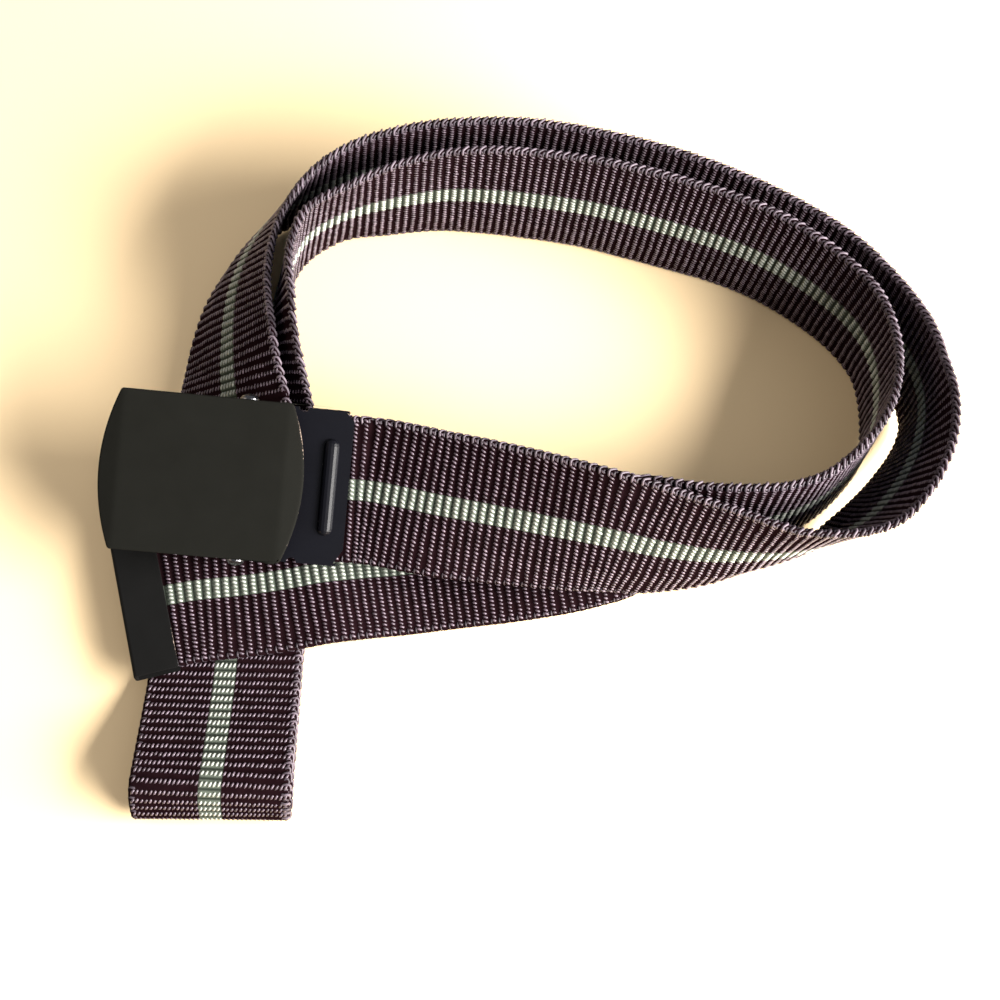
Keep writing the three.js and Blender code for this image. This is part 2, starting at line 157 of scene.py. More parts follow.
FOLD = (
    (-69.55, -32, 2.7, -0.7, 0, 0),
    (-69.6, -44, 2.7, -0.6, 0, 0),
    (-69.6, -53.5, 2.9, -0.5, 0, 0),
    (-69.65, -61.5, 5.3, -0.4, 0, 0),
    (-69.7, -69.5, 8.2, -0.3, 0, 0),
    (-69.75, -76.3, 10.5, -0.2, 0, 0),
    (-69.9, -80.2, 10.9, -0.1, 0, 0),
    (-70, -82.9, 9.1, 0, 0, 0),
    (-70.1, -84.9, 5.7, 0.1, 0, 0),
    (-70.1, -86.2, 2.5, 0.2, 0, 0),
    (-70.1, -85.6, 0.8, 0.25, 0, 0),
    (-70, -83, 0.15, 0.3, 0, 0),
    (-70, -77, 0.05, 0.2, 0, 0),
    (-69.7, -60, 0, 0.1, 0, 0),
    (-69.2, -36, 0, 0, 0, 0),
)
ROLL_TO_EDGE = (
    (-68.6, -20, 0, 0, 0, 0),
    (-68, -9, 0, 0, 0.3, 0),
    (-67.9, -2, 0, -1, 1, 0),
    (-67.6, 5, 0, -3, 6, 0),
    (-66.8, 17, 0, -8, 25, 0),
    (-65.6, 30, 0, -12, 47, 0),
    (-63.2, 43, 0, -18, 68, 0),
    (-60.6, 56, 0, -40, 81, 0),
    (-56, 68.5, 0, -60, 80, 0),
)
INNER_LOOP = (
    (-46.5, 76.5, 0, -65, 79, 2),
    (-33, 82, 0, -60, 86, 4),
    (-18, 85.8, 0, 80, 88, 8),
    (-5, 86.4, 0, 88, 84, 12),
    (8, 85.8, 0, 88, 82, 14),
    (24, 84.2, 0, 84, 81, 14),
    (37, 81.5, 0, 76, 80, 14),
    (50, 78.2, 0, 72, 80, 14),
    (63, 74.4, 0, 67, 81, 14),
    (76, 68.7, 0, 60, 83, 13),
    (89, 59.7, 0, 50, 86, 10),
    (98, 50.5, 0, 40, 89, 8),
    (102.5, 41, 0, 190, 87, 6),
    (103.3, 28, 0, 185, 86, 4),
    (100.4, 16, 0, 200, 82, 2),
    (93.2, 5.4, 0, 208, 76, 0),
    (82.8, -3.8, 0, 203, 72, 0),
)
LEAN_BACK = (
    (72, -9.2, 0, 186, 70, 0),
    (60, -12.4, 0, 160, 69, 0),
    (48.5, -14, 0, 137, 66, 0),
    (37, -14.4, 0, 121, 57, 0),
    (25, -14.6, 0, 110, 36, 0),
    (12, -15.4, 0, 105, 18, 0),
    (-2, -17, 0, 101, 6, 0),
)
FREE_END = (
    (-15, -18.8, 0, 100, 1, 0),
    (-28, -21, 0.6, 99, 1, 0),
    (-38, -23, 3, 99, 1, 0),
    (-48, -25.2, 5.2, 99, 1, 0),
    (-58, -27.5, 5.3, 99.5, 1, 0),
    (-69, -29.5, 5.7, 101.5, 0, 0),
    (-78.5, -31, 6.2, 104.5, 0, 0),
    (-86.5, -32.8, 6.3, 105.8, 0, 0),
    (-94.3, -35, 6.3, 105.8, 0, 0),
)
ROUTE = (
    FRONT_STRAND + OUTER_LOOP + ROLL_TO_FLAT + FOLD + ROLL_TO_EDGE + INNER_LOOP + LEAN_BACK + FREE_END
)

# Half of the ribbed ground's outline across the width.
# Columns: place from the middle, share of the height of the rib.
WEB_OUTLINE = (
    (18.75, 0.4),
    (18.4, 0.95),
    (17.4, 1.15),
    (2.7, 1.0),
    (-2.7, 1.0),
    (-9.1, 1.0),
    (-9.9, 1.0),
    (-17.4, 1.15),
    (-18.4, 0.95),
    (-18.75, 0.4),
)

# A curl of the selvedge, from inside one face over the edge to the other face.
# Columns: share of its reach beside the middle, share of the pitch along, share of its rise.
CURL = (
    (0.5, -0.28, -0.35),
    (1.0, -0.32, 0.1),
    (0.95, -0.36, 0.6),
    (0.5, -0.28, 0.95),
    (0.0, 0.0, 1.0),
    (-0.5, 0.28, 0.95),
    (-0.95, 0.36, 0.6),
    (-1.0, 0.32, 0.1),
    (-0.5, 0.28, -0.35),
)

# The stretches that the dark yarns are divided into, in order along the webbing
STRETCHES = ("front_strand", "outer_loop", "inner_loop", "free_end")


class Face(Enum):
    """The two faces of the webbing, as the sign of their height over its middle surface."""

    FRONT = 1
    BACK = -1


class Edge(Enum):
    """The two long edges of the webbing, as the sign of their place across it."""

    UPPER = 1
    LOWER = -1


@dataclass(frozen=True)
class Finish:
    """A surface: the two linear colours that it varies between, its roughness and its shine."""

    name: str
    dark: Triple
    light: Triple
    roughness: float
    specular: float = 0.5
    metallic: float = 0.0


# The ground's near-black colours are the dark yarn deepened as painted shade between the floats
GROUND = Finish("webbing_ground", (0.0036, 0.0014, 0.0019), (0.0102, 0.0043, 0.0052), 0.95, 0.0)
DARK_YARN = Finish("dark_yarn", (0.022, 0.013, 0.018), (0.126, 0.093, 0.118), 0.42, 0.48)
LIGHT_YARN = Finish("light_yarn", (0.20, 0.21, 0.187), (0.362, 0.377, 0.342), 0.5, 0.3)
EDGE_YARN = Finish("edge_yarn", (0.014, 0.009, 0.013), (0.145, 0.114, 0.138), 0.5, 0.3)
COATED = Finish("coated_metal", (0.0060, 0.0060, 0.0050), (0.0080, 0.0080, 0.0068), 0.75, 0.02)
FRAME_COAT = Finish("frame_coat", (0.0013, 0.0013, 0.0024), (0.0025, 0.0026, 0.0046), 0.38, 0.17)
TIP_COAT = Finish("tip_metal", (0.0044, 0.0044, 0.0043), (0.0062, 0.0062, 0.0061), 0.62, 0.03)
# The bare metal's dark colours are partly its own grey and partly a painted reflection of a dim room
BARE = Finish("bare_metal", (0.05, 0.05, 0.055), (0.16, 0.16, 0.17), 0.26, 0.5, 1.0)

# The ground within the stripe: its valleys, darker as painted shade, and its crests from dark to light
STRIPE_VALLEY_PAINTED_SHADE = (0.018, 0.022, 0.017)
STRIPE_CREST = ((0.06, 0.07, 0.055), (0.12, 0.138, 0.112))

# The metal that shows where a coat has worn off, from dark to light
WORN_METAL = ((0.18, 0.12, 0.09), (0.50, 0.40, 0.34))


class Nodes:
    """Short ways to build a material's node tree."""

    def __init__(self, name: str) -> None:
        """Start an empty material.

        Args:
            name: The material's name.
        """
        self.material = bpy.data.materials.new(name)
        self.material.use_nodes = True
        self.tree = self.material.node_tree
        self.tree.nodes.clear()
        self.out = self.tree.nodes.new("ShaderNodeOutputMaterial")
        self.shader = self.tree.nodes.new("ShaderNodeBsdfPrincipled")
        self.link(self.shader.outputs["BSDF"], self.out.inputs["Surface"])

    def link(self, source: Socket, target: Socket) -> None:
        """Join an output socket to an input socket."""
        self.tree.links.new(source, target)

    def put(self, socket: Socket, value: Value) -> None:
        """Give an input socket a constant or join another socket to it.

        Args:
            socket: The input.
            value: A number, a colour or another node's output.
        """
        if isinstance(value, Socket):
            self.link(value, socket)
        elif isinstance(value, tuple):
            socket.default_value = (*value, 1.0)
        else:
            socket.default_value = value

    def kept(self, name: str) -> bpy.types.Node:
        """An Attribute node for what a mesh keeps on its points.

        Args:
            name: The attribute's name.

        Returns:
            The node.
        """
        node = self.tree.nodes.new("ShaderNodeAttribute")
        node.attribute_name = name
        return node

    def kept_value(self, name: str) -> Socket:
        """A number that a mesh keeps on its points."""
        return self.kept(name).outputs["Fac"]

    def own_place(self) -> Socket:
        """A piece's own coordinates in millimetres, kept on its points."""
        return self.kept("own").outputs["Vector"]

    def object_place(self) -> Socket:
        """Object coordinates in metres."""
        return self.tree.nodes.new("ShaderNodeTexCoord").outputs["Object"]

    def part(self, vector: Socket, axis: str) -> Socket:
        """One component of a vector.

        Args:
            vector: The vector.
            axis: X, Y or Z.

        Returns:
            The component.
        """
        node = self.tree.nodes.new("ShaderNodeSeparateXYZ")
        self.link(vector, node.inputs["Vector"])
        return node.outputs[axis]

    def maths(self, operation: str, first: Value, second: Value = 0.0) -> Socket:
        """The result of a Math node.

        Args:
            operation: What the node does.
            first: Its first number.
            second: Its second number, where it needs one.

        Returns:
            The result.
        """
        node = self.tree.nodes.new("ShaderNodeMath")
        node.operation = operation
        self.put(node.inputs[0], first)
        self.put(node.inputs[1], second)
        return node.outputs["Value"]

    def scaled(self, value: Socket, factor: float, shift: float) -> Socket:
        """A value times a factor, and then shifted."""
        return self.maths("ADD", self.maths("MULTIPLY", value, factor), shift)

    def mapped(
        self, value: Socket, low: float, high: float, to_low: float = 0.0, to_high: float = 1.0
    ) -> Socket:
        """A smooth step from one number to another.

        Args:
            value: What is mapped.
            low: Where the step starts.
            high: Where it ends.
            to_low: The result before it.
            to_high: The result after it.

        Returns:
            The result.
        """
        node = self.tree.nodes.new("ShaderNodeMapRange")
        node.interpolation_type = "SMOOTHSTEP"
        self.put(node.inputs["Value"], value)
        node.inputs["From Min"].default_value = low
        node.inputs["From Max"].default_value = high
        node.inputs["To Min"].default_value = to_low
        node.inputs["To Max"].default_value = to_high
        return node.outputs["Result"]

    def noise(self, vector: Socket, scale: float, detail: float = 3.0, roughness: float = 0.5) -> Socket:
        """A noise texture's grey value.

        Args:
            vector: The coordinates that it reads.
            scale: How fine it is.
            detail: How many finer layers it has.
            roughness: How strong the finer layers are.

        Returns:
            The grey value.
        """
        node = self.tree.nodes.new("ShaderNodeTexNoise")
        node.noise_dimensions = "3D"
        self.link(vector, node.inputs["Vector"])
        node.inputs["Scale"].default_value = scale
        node.inputs["Detail"].default_value = detail
        node.inputs["Roughness"].default_value = roughness
        return node.outputs["Fac"]

    def mix(self, share: Value, first: Value, second: Value) -> Socket:
        """A colour between two others.

        Args:
            share: 0 for the first colour and 1 for the second.
            first: The first colour.
            second: The second colour.

        Returns:
            The mixed colour.
        """
        node = self.tree.nodes.new("ShaderNodeMix")
        node.data_type = "RGBA"
        self.put(node.inputs["Factor"], share)
        self.put(node.inputs[MIX_FIRST], first)
        self.put(node.inputs[MIX_SECOND], second)
        return node.outputs[MIX_RESULT]

    def bump(self, height: Socket, strength: float, distance: float) -> Socket:
        """Normals bent by a height.

        Args:
            height: The height, between 0 and 1.
            strength: How much of the bump shows.
            distance: How high 1 stands, in metres.

        Returns:
            The normals.
        """
        node = self.tree.nodes.new("ShaderNodeBump")
        node.inputs["Strength"].default_value = strength
        node.inputs["Distance"].default_value = distance
        self.link(height, node.inputs["Height"])
        return node.outputs["Normal"]

    def finish(self, **values: Value) -> bpy.types.Material:
        """Set the shader's inputs by name and give back the material.

        Args:
            **values: Input names with underscores for spaces, and constants or sockets.

        Returns:
            The finished material.
        """
        for key, value in values.items():
            self.put(self.shader.inputs[key.replace("_", " ")], value)
        return self.material


class Materials:
    """Every material of the belt, made once."""

    def __init__(self) -> None:
        """Build the materials."""
        self.ground = self._ground(GROUND)
        self.dark_yarn = self._yarn(DARK_YARN)
        self.light_yarn = self._yarn(LIGHT_YARN)
        self.edge_yarn = self._yarn(EDGE_YARN)
        self.coated = self._coated(COATED)
        self.tip = self._coated(TIP_COAT)
        self.bare = self._bare(BARE)
        self.frame_coat = self._plain_coat(FRAME_COAT)

    @staticmethod
    def _ground(finish: Finish) -> bpy.types.Material:
        """The cloth between the yarns: dark yarn deepened to near black as painted shade, and grey green
        in the stripe with painted shade in its valleys.

        Args:
            finish: The cloth outside the stripe.

        Returns:
            The material.
        """
        n = Nodes(finish.name)
        place = n.own_place()
        across = n.maths("ABSOLUTE", n.part(place, "Y"))
        inside, outside = STRIPE_HALF_WIDTH - STRIPE_BLUR, STRIPE_HALF_WIDTH + STRIPE_BLUR
        stripe = n.mapped(across, low=inside, high=outside, to_low=1.0, to_high=0.0)
        mottle = n.noise(place, scale=0.35, detail=4.0)
        # Painted shade: the stripe's ground darkens towards the valleys between the ribs, by its height
        crest = n.mapped(n.maths("ABSOLUTE", n.part(place, "Z")), low=0.3, high=0.75)
        plain = n.mix(mottle, finish.dark, finish.light)
        green = n.mix(crest, STRIPE_VALLEY_PAINTED_SHADE, n.mix(mottle, *STRIPE_CREST))
        fibre = n.noise(place, scale=6.0, detail=2.0)
        return n.finish(
            Base_Color=n.mix(stripe, plain, green),
            Roughness=finish.roughness,
            Specular_IOR_Level=finish.specular,
            Normal=n.bump(fibre, strength=0.4, distance=0.0001),
        )

    @staticmethod
    def _yarn(finish: Finish) -> bpy.types.Material:
        """Twisted yarn: each float or curl keeps a random tint, and the curls' kept value also holds
        painted shade.

        Args:
            finish: The yarn's name, colours and shine.

        Returns:
            The material.
        """
        n = Nodes(finish.name)
        place = n.object_place()
        # The kept value is a random tint for each float, and for the selvedge curls it also holds their
        # painted shade
        kept_tone_and_painted_shade = n.maths("MULTIPLY", n.kept_value("tone_and_painted_shade"), 0.7)
        patches = n.maths("MULTIPLY", n.noise(place, scale=90.0), 0.3)
        fibre = n.noise(place, scale=9000.0, detail=2.0)
        return n.finish(
            Base_Color=n.mix(n.maths("ADD", kept_tone_and_painted_shade, patches), finish.dark, finish.light),
            Roughness=n.scaled(fibre, factor=0.2, shift=finish.roughness - 0.1),
            Specular_IOR_Level=finish.specular,
            Normal=n.bump(fibre, strength=0.3, distance=0.00004),
        )

    @staticmethod
    def _coated(finish: Finish) -> bpy.types.Material:
        """Matt coating with fine grain, and coppery metal where the coat has worn off.

        Args:
            finish: The coat's name, colours and shine.

        Returns:
            The material.
        """
        n = Nodes(finish.name)
        place = n.own_place()
        grain = n.noise(place, scale=14.0, roughness=0.6)
        scuffs = n.noise(place, scale=1.6, detail=5.0, roughness=0.65)
        worn = n.mapped(n.maths("ADD", n.kept_value("wear"), scuffs), low=1.02, high=1.16)
        coat = n.mix(n.noise(place, scale=0.12), finish.dark, finish.light)
        rough = n.scaled(grain, factor=0.14, shift=finish.roughness - 0.07)
        return n.finish(
            Base_Color=n.mix(worn, coat, n.mix(scuffs, *WORN_METAL)),
            Roughness=n.maths("SUBTRACT", rough, n.maths("MULTIPLY", worn, 0.12)),
            Metallic=n.maths("MULTIPLY", worn, 0.8),
            Specular_IOR_Level=finish.specular,
            Normal=n.bump(grain, strength=0.25, distance=0.00006),
        )

    @staticmethod
    def _plain_coat(finish: Finish) -> bpy.types.Material:
        """The same coating, unworn, on a piece that keeps no coordinates of its own.

        Args:
            finish: The coat's name, colours and shine.

        Returns:
            The material.
        """
        n = Nodes(finish.name)
        place = n.object_place()
        grain = n.noise(place, scale=14000.0, roughness=0.6)
        return n.finish(
            Base_Color=n.mix(n.noise(place, scale=120.0), finish.dark, finish.light),
            Roughness=n.scaled(grain, factor=0.14, shift=finish.roughness - 0.07),
            Specular_IOR_Level=finish.specular,
            Normal=n.bump(grain, strength=0.25, distance=0.00006),
        )

    @staticmethod
    def _bare(finish: Finish) -> bpy.types.Material:
        """Bare metal, darkened in part as a painted reflection of a dim room, with fine marks and a
        little dirt.

        Args:
            finish: The metal's name, colours and shine.

        Returns:
            The material.
        """
        n = Nodes(finish.name)
        place = n.object_place()
        dirt = n.noise(place, scale=700.0, detail=4.0)
        marks = n.noise(place, scale=12000.0, detail=2.0)
        return n.finish(
            Base_Color=n.mix(dirt, finish.dark, finish.light),
            Roughness=n.scaled(marks, factor=0.15, shift=finish.roughness - 0.05),
            Metallic=finish.metallic,
            Normal=n.bump(marks, strength=0.15, distance=0.00003),
        )


@dataclass
class BeltFrame:
    """Takes places in the tables' frame, in millimetres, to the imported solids' frame.

    The buckle's own frame has X along the belt, Y across it and Z out of its face.
    """

    buckle_place: Triple = (-76.6, -4.4, 19.5)
    buckle_tilt: float = 22.0
    buckle_turn: float = -3.4
    bar_at_rest: Triple = (9.5, 0.0, 2.5)

    def __post_init__(self) -> None:
        """Find the shift from where the roller bar really is."""
        turn = Matrix.Rotation(math.radians(self.buckle_turn), 4, "Z")
        tilt = Matrix.Rotation(math.radians(self.buckle_tilt), 4, "X")
        self.buckle = Matrix.Translation(self.buckle_place) @ turn @ tilt
        low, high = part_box("roller_bar")
        found = (Vector(low) + Vector(high)) / (2 * MM)
        self.shift = np.array(found - self.buckle @ Vector(self.bar_at_rest))

    def from_buckle(self, points: np.ndarray) -> np.ndarray:
        """Points of the buckle's own frame, taken to the tables' frame.

        Args:
            points: An array of rows x, y, z.

        Returns:
            The rows in the tables' frame.
        """
        matrix = np.array(self.buckle)
        return points @ matrix[:3, :3].T + matrix[:3, 3]

    def metres(self, points: np.ndarray) -> np.ndarray:
        """Points of the tables' frame in metres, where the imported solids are."""
        return (points + self.shift) * MM


@dataclass
class MeshParts:
    """Points and faces of one mesh, with the values kept on its points."""

    points: np.ndarray
    faces: np.ndarray
    values: dict[str, np.ndarray]


def keep_values(mesh: bpy.types.Mesh, values: dict[str, np.ndarray]) -> None:
    """Keep single values or vectors on a mesh's points.

    Args:
        mesh: The mesh.
        values: A row or a number for each point, by attribute name.
    """
    for key, value in values.items():
        if value.ndim == 1:
            kept = mesh.attributes.new(key, "FLOAT", "POINT")
            kept.data.foreach_set("value", value.astype(np.float32))
        else:
            kept = mesh.attributes.new(key, "FLOAT_VECTOR", "POINT")
            kept.data.foreach_set("vector", value.astype(np.float32).ravel())


def make_object(name: str, parts: MeshParts, material: bpy.types.Material) -> bpy.types.Object:
    """Make an object from arrays, with smooth faces.

    Args:
        name: The object's name.
        parts: Points in metres, faces of one size, and values for the points.
        material: What it is made of.

    Returns:
        The linked object.
    """
    mesh = bpy.data.meshes.new(name)
    count, sides = parts.faces.shape
    mesh.vertices.add(len(parts.points))
    mesh.vertices.foreach_set("co", parts.points.astype(np.float32).ravel())
    mesh.loops.add(count * sides)
    mesh.loops.foreach_set("vertex_index", parts.faces.astype(np.int32).ravel())
    mesh.polygons.add(count)
    mesh.polygons.foreach_set("loop_start", np.arange(0, count * sides, sides, dtype=np.int32))
    mesh.polygons.foreach_set("use_smooth", np.ones(count, dtype=bool))
    keep_values(mesh, parts.values)
    mesh.update(calc_edges=True)
    mesh.validate()
    mesh.materials.append(material)
    made = bpy.data.objects.new(name, mesh)
    bpy.context.scene.collection.objects.link(made)
    return made


def round_edges(
    shape: bmesh.types.BMesh, edges: list[bmesh.types.BMEdge], width: float, segments: int
) -> None:
    """Bevel edges to a round.

    Args:
        shape: The shape that they belong to.
        edges: The edges.
        width: How far the round reaches from each edge.
        segments: How many strips it has.
    """
    bmesh.ops.bevel(
        shape,
        geom=edges,
        offset=width,
        affect="EDGES",
        segments=segments,
        profile=0.5,
        material=-1,
    )


def finish_shape(
    name: str,
    shape: bmesh.types.BMesh,
    place: Callable[[np.ndarray], np.ndarray],
    wear: Callable[[np.ndarray], np.ndarray],
    material: bpy.types.Material,
) -> bpy.types.Object:
    """Turn a modelled shape into an object where it belongs.

    Args:
        name: The object's name.
        shape: The shape in millimetres, in its own coordinates.
        place: Takes its own coordinates to metres in the frame.
        wear: Gives how worn each of its points is.
        material: What it is made of.

    Returns:
        The linked object, with its own coordinates and wear kept on its points.
    """
    mesh = bpy.data.meshes.new(name)
    shape.to_mesh(mesh)
    shape.free()
    own = np.empty(3 * len(mesh.vertices), dtype=np.float32)
    mesh.vertices.foreach_get("co", own)
    own = own.reshape(-1, 3).astype(float)
    keep_values(mesh, {"own": own, "wear": wear(own)})
    mesh.vertices.foreach_set("co", place(own).astype(np.float32).ravel())
    mesh.polygons.foreach_set("use_smooth", np.ones(len(mesh.polygons), dtype=bool))
    mesh.set_sharp_from_angle(angle=math.radians(SHARP_FROM))
    mesh.update()
    mesh.materials.append(material)
    made = bpy.data.objects.new(name, mesh)
    made.modifiers.new("even_normals", "WEIGHTED_NORMAL").keep_sharp = True
    bpy.context.scene.collection.objects.link(made)
    return made


def tube_faces(rings: int, around: int, capped: bool) -> np.ndarray:
    """Quads over rings of points, each ring anticlockwise about the way that the rings run.

    Args:
        rings: How many rings there are.
        around: How many points each ring has.
        capped: Whether strips close the two ends.

    Returns:
        One row of four point numbers for each quad.
    """
    ring, i = np.meshgrid(np.arange(rings - 1), np.arange(around), indexing="ij")
    a = ring * around + i
    b = ring * around + (i + 1) % around
    quads = np.stack([a, b, b + around, a + around], axis=-1).reshape(-1, 4)
    if not capped:
        return quads
    i = np.arange(around // 2 - 1)
    near = np.stack([i, around - 1 - i, around - 2 - i, i + 1], axis=-1)
    far = np.stack([i, i + 1, around - 2 - i, around - 1 - i], axis=-1) + (rings - 1) * around
    return np.vstack([quads, near, far])


def unit(rows: np.ndarray) -> np.ndarray:
    """Each row scaled to length one."""
    return rows / np.linalg.norm(rows, axis=-1, keepdims=True)


def spline(points: np.ndarray, at: np.ndarray) -> np.ndarray:
    """A centripetal Catmull-Rom curve through points.

    Args:
        points: The rows that the curve goes through.
        at: Where to read it, in whole rows and shares of one.

    Returns:
        One row for each place read.
    """
    padded = np.vstack([2 * points[0] - points[1], points, 2 * points[-1] - points[-2]])
    span = np.clip(at.astype(int), 0, len(points) - 2)
    share = (at - span)[:, None]
    p0, p1, p2, p3 = (padded[span + k] for k in range(4))
    pairs = ((p0, p1), (p1, p2), (p2, p3))
    d0, d1, d2 = (np.sqrt(np.linalg.norm(b - a, axis=1))[:, None] for a, b in pairs)
    d1 = np.where(d1 < SMALL, 1.0, d1)
    d0 = np.where(d0 < SMALL, d1, d0)
    d2 = np.where(d2 < SMALL, d1, d2)
    t1 = ((p1 - p0) / d0 - (p2 - p0) / (d0 + d1) + (p2 - p1) / d1) * d1
    t2 = ((p2 - p1) / d1 - (p3 - p1) / (d1 + d2) + (p3 - p2) / d2) * d1
    square = 3 * (p2 - p1) - 2 * t1 - t2
    cube = 2 * (p1 - p2) + t1 + t2
    return p1 + share * (t1 + share * (square + share * cube))


@dataclass
class Sections:
    """Sections of the webbing: where each is, its directions, and how far its crease is bent."""

    centre: np.ndarray
    along: np.ndarray
    across: np.ndarray
    out: np.ndarray
    crease: np.ndarray

    def directions(self, y: np.ndarray) -> tuple[np.ndarray, np.ndarray]:
        """The way across and the way out at places across the width.

        Args:
            y: One place for each section, in millimetres from the middle.

        Returns:
            The direction across and the direction out of the face, a row for each section.
        """
        bend = np.where(y < -CREASE_FROM_MIDDLE, self.crease, 0.0)[:, None]
        across = np.cos(bend) * self.across + np.sin(bend) * self.out
        out = np.cos(bend) * self.out - np.sin(bend) * self.across
        return across, out

    def points(self, y: np.ndarray, height: np.ndarray) -> np.ndarray:
        """Points from their places across the width and heights over the middle surface.

        Args:
            y: One place for each section, in millimetres from the middle.
            height: How far each point is over the middle surface.

        Returns:
            A point for each section.
        """
        below = np.minimum(0.0, y + CREASE_FROM_MIDDLE)[:, None]
        bend = self.crease[:, None]
        lower = np.cos(bend) * self.across + np.sin(bend) * self.out
        lean = np.where(below < 0, bend, bend / 2)
        face = np.cos(lean) * self.out - np.sin(lean) * self.across
        flat = np.where((y > -CREASE_FROM_MIDDLE + CREASE_REACH)[:, None], self.out, face)
        upper = self.centre + (y[:, None] - below) * self.across
        return upper + below * lower + height[:, None] * flat


@dataclass
class Route:
    """The webbing's way along the table and through the buckle, where its start is clamped."""

    frame: BeltFrame
    samples_per_row: int = 40

    def __post_init__(self) -> None:
        """Lay the route through the tables' rows."""
        rows = np.array(ROUTE, dtype=float)
        turn, rise, crease = np.radians(rows[:, 3:6]).T
        level = np.cos(rise)
        widths = np.stack([level * np.cos(turn), level * np.sin(turn), np.sin(rise)], axis=1)
        held = np.array([(x, 0.0, -CLAMPED_BELOW) for x in CLAMPED_AT])
        feet = self.frame.from_buckle(held)
        leans = [Vector((0, 1, i * CLAMPED_LEAN)).normalized() for i in range(len(feet))]
        held_widths = np.array([self.frame.buckle.to_3x3() @ lean for lean in leans])
        feet[:, 2] -= self.depth(held_widths, np.zeros(len(feet)))
        self._feet = np.vstack([feet, rows[:, :3]])
        self._widths = np.vstack([held_widths, widths])
        self._creases = np.concatenate([np.zeros(len(feet)), crease])
        spans = len(self._feet) - 1
        at = np.linspace(0, spans, spans * self.samples_per_row + 1)
        foot, across, bend = self._read(at)
        ahead, behind = self._centre(at + TANGENT_STEP), self._centre(at - TANGENT_STEP)
        along = unit(ahead - behind)
        across = unit(across - along * np.sum(across * along, axis=1, keepdims=True))
        centre = foot.copy()
        centre[:, 2] += self.depth(across, bend)
        self._table = np.hstack([centre, along, across, bend[:, None]])
        steps = np.linalg.norm(np.diff(centre, axis=0), axis=1)
        self._run = np.concatenate([[0.0], np.cumsum(steps)])
        self.length = float(self._run[-1])

    @staticmethod
    def depth(across: np.ndarray, crease: np.ndarray) -> np.ndarray:
        """How far the lowest point of each section is below the middle of its width.

        Args:
            across: The direction of each section's width.
            crease: How far each one's crease is bent.

        Returns:
            A depth for each section.
        """
        rise = np.arcsin(np.clip(np.abs(across[:, 2]), 0, 1))
        steepest = np.minimum(math.pi / 2, rise + crease)
        upper = CREASE_FROM_MIDDLE * np.sin(rise)
        lower = (WEB_HALF_WIDTH - CREASE_FROM_MIDDLE) * np.sin(steepest)
        return upper + lower + WEB_THICKNESS / 2 * np.cos(rise)

    def _read(self, at: np.ndarray) -> tuple[np.ndarray, np.ndarray, np.ndarray]:
        """Read the route at places along its rows.

        Args:
            at: The places, in whole rows and shares of one.

        Returns:
            The foot, the width's direction and the crease at each place.
        """
        at = np.clip(at, 0, len(self._feet) - 1)
        crease = np.interp(at, np.arange(len(self._creases)), self._creases)
        return spline(self._feet, at), unit(spline(self._widths, at)), crease

    def _centre(self, at: np.ndarray) -> np.ndarray:
        """The middle of the width at places along the rows.

        Args:
            at: The places, in whole rows and shares of one.

        Returns:
            A point for each place.
        """
        foot, across, crease = self._read(at)
        foot[:, 2] += self.depth(across, crease)
        return foot

    def sections(self, run: np.ndarray) -> Sections:
        """Sections at distances along the webbing.

        Args:
            run: Distances from the clamped end, in millimetres.

        Returns:
            A section for each distance.
        """
        read = np.stack([np.interp(run, self._run, column) for column in self._table.T], axis=1)
        along, across = unit(read[:, 3:6]), read[:, 6:9]
        across = unit(across - along * np.sum(across * along, axis=1, keepdims=True))
        return Sections(read[:, :3], along, across, np.cross(along, across), read[:, 9])


